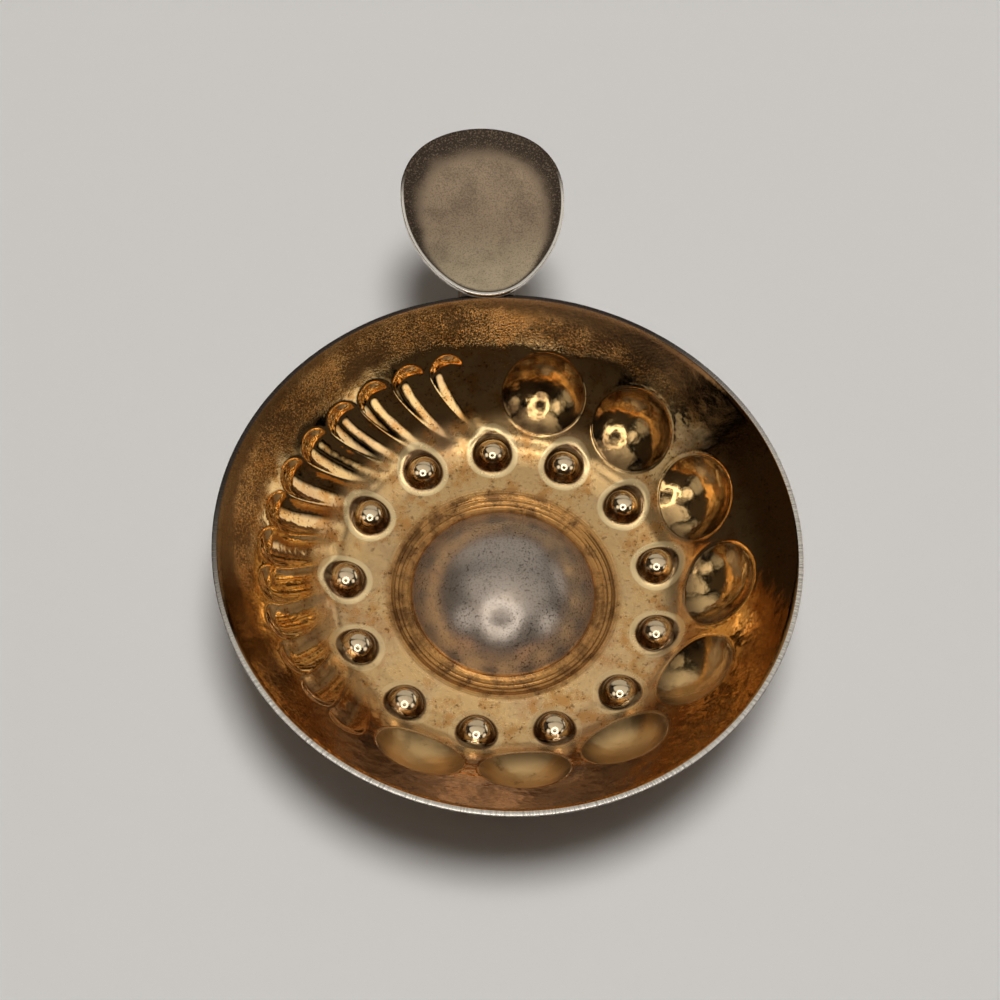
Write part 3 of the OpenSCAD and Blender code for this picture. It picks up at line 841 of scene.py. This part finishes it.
class TASTEVIN_OT_thumb_rest(bpy.types.Operator):
    """Cuts the plate to its outline, dishes it and rounds its edge"""
    bl_idname = "tastevin.thumb_rest"
    bl_label = "Thumb rest"

    def execute(self, context):
        scene = context.scene
        c, h, f = scene.tastevin_cup, scene.tastevin_handle, scene.tastevin_finish
        n, bands, arc_steps = 192, 26, 6
        line = rest_outline(h, n)
        mid = np.array([h.rest_l * 0.52, 0])  # where the rings of the mesh meet
        tilt = math.asin(h.rest_l / 2 / h.rest_dish_r)
        dish = np.array([0, c.rim_r - c.rim_land / 2,
                         c.height + h.seam + h.rest_t + h.rest_dish_r])
        edge = h.rest_edge

        def place(flat, depth):
            """Points of the outline's plane laid on the dish, at a depth below its top face."""
            u, v = flat[:, 0], flat[:, 1]
            p = np.stack([v, c.rim_r - c.rim_land + u * math.cos(tilt),
                          c.height + h.seam + u * math.sin(tilt)], 1)
            away = np.array([0, -math.sin(tilt), math.cos(tilt)])
            q = p - dish
            b = q @ away
            t = -b - np.sqrt(b * b - (np.sum(q * q, 1) - (h.rest_dish_r + depth) ** 2))
            return p + t[:, None] * away

        def shrink(inset):
            """The outline moved inwards by a distance."""
            tangent = np.roll(line, -1, 0) - np.roll(line, 1, 0)
            tangent /= np.linalg.norm(tangent, axis=1)[:, None]
            normal = np.stack([tangent[:, 1], -tangent[:, 0]], 1)
            flip = np.sign(np.sum(normal * (mid - line), 1))[:, None]
            return line + normal * flip * inset

        # rings from the middle of the top, over the rounded edge, to the middle of the bottom
        body = shrink(edge)
        reach = np.linalg.norm(body - mid, axis=1)
        shares = [k / bands for k in range(1, bands)]
        arc = [math.pi / 2 * k / arc_steps for k in range(arc_steps + 1)]
        co = [place(mid + (body - mid) * k, 0) for k in shares]
        for s in arc:
            co.append(place(shrink(edge * (1 - math.sin(s))), edge * (1 - math.cos(s))))
        for s in arc:
            co.append(place(shrink(edge * (1 - math.cos(s))), h.rest_t - edge * (1 - math.sin(s))))
        co += [place(mid + (body - mid) * k, h.rest_t) for k in reversed(shares)]
        tips = [place(mid[None], 0), place(mid[None], h.rest_t)]
        mesh = new_mesh("thumb_rest_plate", np.concatenate(co + tips), skin([n] * len(co)))
        face_outwards(mesh).shade_smooth()
        inset = [reach * (1 - k) + edge for k in shares]
        inset += [np.zeros(n)] * 2 * len(arc) + inset[::-1] + [np.full(2, reach.mean())]
        layer = mesh.attributes.new("inset", "FLOAT", "POINT")
        layer.data.foreach_set("value", np.concatenate(inset))
        mesh.materials.append(thumbed_silver(f))
        obj = new_object("thumb_rest_plate", mesh)
        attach(obj, "root")
        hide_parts("thumb_rest")
        return {"FINISHED"}


def strap_loop(t, g):
    """Geometry Nodes: sweeps a strap with rounded edges along a loop with two round ends."""
    curves = []
    for width, height, radius, points in (("Length", "Height", "End radius", 40),
                                          ("Thickness", "Width", "Edge", 5)):
        curve = add(t, "GeometryNodeCurvePrimitiveQuadrilateral", {"Width": g[width],
                                                                   "Height": g[height]})
        curves.append(add(t, "GeometryNodeFilletCurve", {"Curve": curve, "Radius": g[radius],
                                                         "Count": points}, mode="POLY"))
    loop, section = curves
    loop = add(t, "GeometryNodeSetCurveNormal", {"Curve": loop}, mode="Z_UP")
    strap = add(t, "GeometryNodeCurveToMesh", {"Curve": loop, "Profile Curve": section})
    strap = add(t, "GeometryNodeRealizeInstances", [strap])
    strap = add(t, "GeometryNodeSetMaterial", {"Geometry": strap, "Material": g["Material"]})
    add(t, "NodeGroupOutput", {"Geometry": strap})


class TASTEVIN_OT_finger_ring(bpy.types.Operator):
    """Bends the finger ring from a strap and stands it under the thumb rest"""
    bl_idname = "tastevin.finger_ring"
    bl_label = "Finger ring"

    def execute(self, context):
        h, f = context.scene.tastevin_handle, context.scene.tastevin_finish
        low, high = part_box("finger_ring")
        obj = new_object("finger_ring_strap", bpy.data.meshes.new("finger_ring_strap"))
        r = h.ring_r - h.ring_t / 2
        slack = 0.001 * MM  # keeps the two arcs of a round end apart
        grow(obj, "Strap loop", strap_loop, {
            "Length": h.ring_straight + 2 * r, "Height": 2 * r, "End radius": r - slack,
            "Width": h.ring_w, "Thickness": h.ring_t, "Edge": h.ring_edge,
            "Material": satin_silver(f, "tarnished silver, rubbed", f.silver, 0.24, 0.36)})
        mesh = obj.data
        co = np.zeros(len(mesh.vertices) * 3)
        mesh.vertices.foreach_get("co", co)
        x, y, z = co.reshape(-1, 3).T
        cs, sn = math.cos(h.ring_tilt), math.sin(h.ring_tilt)
        middle = (np.array(low) + np.array(high)) / 2
        stood = np.stack([z, x * cs - y * sn, x * sn + y * cs], 1) + middle
        mesh.vertices.foreach_set("co", stood.ravel())
        face_outwards(mesh)
        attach(obj, "root")
        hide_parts("finger_ring")
        return {"FINISHED"}


class TASTEVIN_OT_solder(bpy.types.Operator):
    """Runs the solder between rim, plate, ring and wall, with soft edges"""
    bl_idname = "tastevin.solder"
    bl_label = "Solder"

    def execute(self, context):
        f = context.scene.tastevin_finish
        finish = satin_silver(f, "silver solder, as run", f.solder, 0.32, 0.5)
        for node in ("solder_rim", "solder_rest", "solder_wall"):
            mesh = face_outwards(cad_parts[node].data.copy())
            mesh.materials.clear()
            mesh.materials.append(finish)
            obj = new_object(node + "_run", mesh)
            remesh = obj.modifiers.new("Remesh", "REMESH")
            remesh.mode, remesh.voxel_size = "VOXEL", 0.06 * MM
            soft = obj.modifiers.new("Soften", "SMOOTH")
            soft.factor, soft.iterations = 0.5, 6
            plain_mesh(obj)
            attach(obj, "root")
            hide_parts(node)
        return {"FINISHED"}


# Stage

def new_lamp(mesh, location, turn, diffuse=False):
    """Makes a mesh shine on the stage, and returns its node tree and the input for its strength.
    The camera doesn't see it and it casts no shadow. A diffuse lamp lights matt surfaces and isn't
    seen in the metal, and any other one is only seen in the metal."""
    mat = bpy.data.materials.new(mesh.name)
    t = emptied(mat)
    light = add(t, "ShaderNodeEmission", {"Color": LAMP_COLOUR}).node
    add(t, "ShaderNodeOutputMaterial", {"Surface": light.outputs[0]})
    mesh.materials.append(mat)
    obj = new_object(mesh.name, mesh)
    obj.location, obj.rotation_euler = location, turn
    obj.visible_camera = obj.visible_shadow = False
    obj.visible_diffuse, obj.visible_glossy = diffuse, not diffuse
    obj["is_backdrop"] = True
    return t, light.inputs["Strength"]


def softbox(name, azimuth, elevation, distance, width, height, radiance, core, lean=1.0,
            diffuse=False):
    """A soft oval lamp aimed at the cup, even over its core and fading from there to its edge.
    Lean is how bright its lower end is for an upper end of 1."""
    a, e = math.radians(azimuth), math.radians(elevation)
    out = distance * math.cos(e)
    x, y = width / 2, height / 2
    t, strength = new_lamp(
        new_plane(name, x, y), (out * math.cos(a), out * math.sin(a), distance * math.sin(e)),
        (math.pi / 2 - e, 0, a + math.pi / 2), diffuse)
    spot = add(t, "ShaderNodeTexCoord", out="Object")
    spot = add(t, "ShaderNodeVectorMath", [spot, (1 / x, 1 / y, 0)], operation="MULTIPLY")
    far = add(t, "ShaderNodeVectorMath", [spot], out="Value", operation="LENGTH")
    glow = add(t, "ShaderNodeMapRange", [far, 1.0, core, 0.0, radiance],
               interpolation_type="SMOOTHSTEP")
    up = add(t, "ShaderNodeSeparateXYZ", [spot], out=1)
    up = add(t, "ShaderNodeMapRange", [up, -1.0, 1.0, lean, 1.0])
    glow = add(t, "ShaderNodeMath", [glow, up], operation="MULTIPLY")
    t.links.new(glow, strength)


class TASTEVIN_OT_stage(bpy.types.Operator):
    """Lays a pale floor and sets soft lights and the camera"""
    bl_idname = "tastevin.stage"
    bl_label = "Stage"

    def execute(self, context):
        scene = context.scene
        scene.view_settings.view_transform = "Standard"
        reach = 4.0
        mesh = new_plane("floor", reach, reach)
        # matt paint: no reflections, only the soft shadow of the cup
        mat, t, shader, m = new_material("pale studio floor, matt", (("grain", 3, 3.0, 0.5),))
        shader.inputs["Metallic"].default_value = 0.0
        shader.inputs["Base Color"].default_value = scene.tastevin_finish.floor
        rough = add(t, "ShaderNodeMapRange", [m["grain"], 0.0, 1.0, 0.55, 0.7])
        t.links.new(rough, shader.inputs["Roughness"])
        mesh.materials.append(mat)
        new_object("floor", mesh)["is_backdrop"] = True

        cam = bpy.data.objects.new("camera", bpy.data.cameras.new("camera"))
        cam.data.sensor_width, cam.data.lens, cam.data.clip_start = 36, 67.72, 0.01
        cam.location = (-0.019084, -0.112779, 0.224526)
        cam.rotation_euler = [math.radians(turn) for turn in (29.786, -2.641, -4.205)]
        scene.collection.objects.link(cam)
        scene.camera = cam

        # ring lamp round the lens
        inner, outer, n = 60 * MM, 96 * MM, 96
        co = np.concatenate([ring_points(r, 0, n) for r in (inner, outer)])
        ring = new_mesh("ring_lamp", co, skin([n, n], closed=False))
        _, strength = new_lamp(ring, cam.location, cam.rotation_euler)
        strength.default_value = 4.2

        softbox("key_panel", 58, 85, 2.2, 1.2, 1.2, 14.3, 0.5, diffuse=True)
        softbox("ceiling_panel", 66, 76, 0.8, 1.9, 1.5, 1.1, 0.75, 0.4)
        softbox("back_panel", 80, 30, 0.7, 2.0, 1.1, 0.62, 0.5)
        softbox("left_lamp", 205, 42, 0.5, 0.27, 0.27, 1.5, 0.4)
        softbox("right_lamp", -30, 34, 0.5, 0.27, 0.27, 1.5, 0.4)
        softbox("left_panel", 202, 19, 0.6, 0.42, 0.3, 0.45, 0.4)
        softbox("right_panel", 20, 17, 0.6, 0.6, 0.38, 1.2, 0.4)
        scene.world = bpy.data.worlds.new("dim surround")
        t = emptied(scene.world)
        dim = add(t, "ShaderNodeBackground", {"Color": (1.0, 0.8, 0.62, 1), "Strength": 0.05})
        add(t, "ShaderNodeOutputWorld", {"Surface": dim})
        return {"FINISHED"}


class TASTEVIN_PT_panel(bpy.types.Panel):
    """Lists the pieces of the cup, and the sizes and colours that they are made from"""
    bl_idname = "TASTEVIN_PT_panel"
    bl_label = "Tastevin"
    bl_space_type = "VIEW_3D"
    bl_region_type = "UI"
    bl_category = "Tastevin"

    def draw(self, context):
        for op in OPERATORS:
            self.layout.operator(op.bl_idname)
        for name, group in GROUPS.items():
            box = self.layout.box()
            box.label(text=group.__doc__)
            for value in group.__annotations__:
                box.prop(getattr(context.scene, name), value)


GROUPS = {"tastevin_cup": CupSizes, "tastevin_chasing": ChasingSizes,
          "tastevin_handle": HandleSizes, "tastevin_finish": Finishes}
OPERATORS = (TASTEVIN_OT_cup, TASTEVIN_OT_thumb_rest, TASTEVIN_OT_finger_ring, TASTEVIN_OT_solder,
             TASTEVIN_OT_stage)
CLASSES = tuple(GROUPS.values()) + OPERATORS + (TASTEVIN_PT_panel,)


def register():
    for cls in CLASSES:
        bpy.utils.register_class(cls)
    for name, group in GROUPS.items():
        setattr(bpy.types.Scene, name, PointerProperty(type=group))


def unregister():
    for name in GROUPS:
        delattr(bpy.types.Scene, name)
    for cls in reversed(CLASSES):
        bpy.utils.unregister_class(cls)


def main():
    register()
    bpy.ops.tastevin.cup()
    bpy.ops.tastevin.thumb_rest()
    bpy.ops.tastevin.finger_ring()
    bpy.ops.tastevin.solder()
    bpy.ops.tastevin.stage()
    boxes = {"cad": CAD_BOX, "visual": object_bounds()}
    {k: [list(corner) for corner in box] for k, box in boxes.items()}


if __name__ == "__main__":
    main()
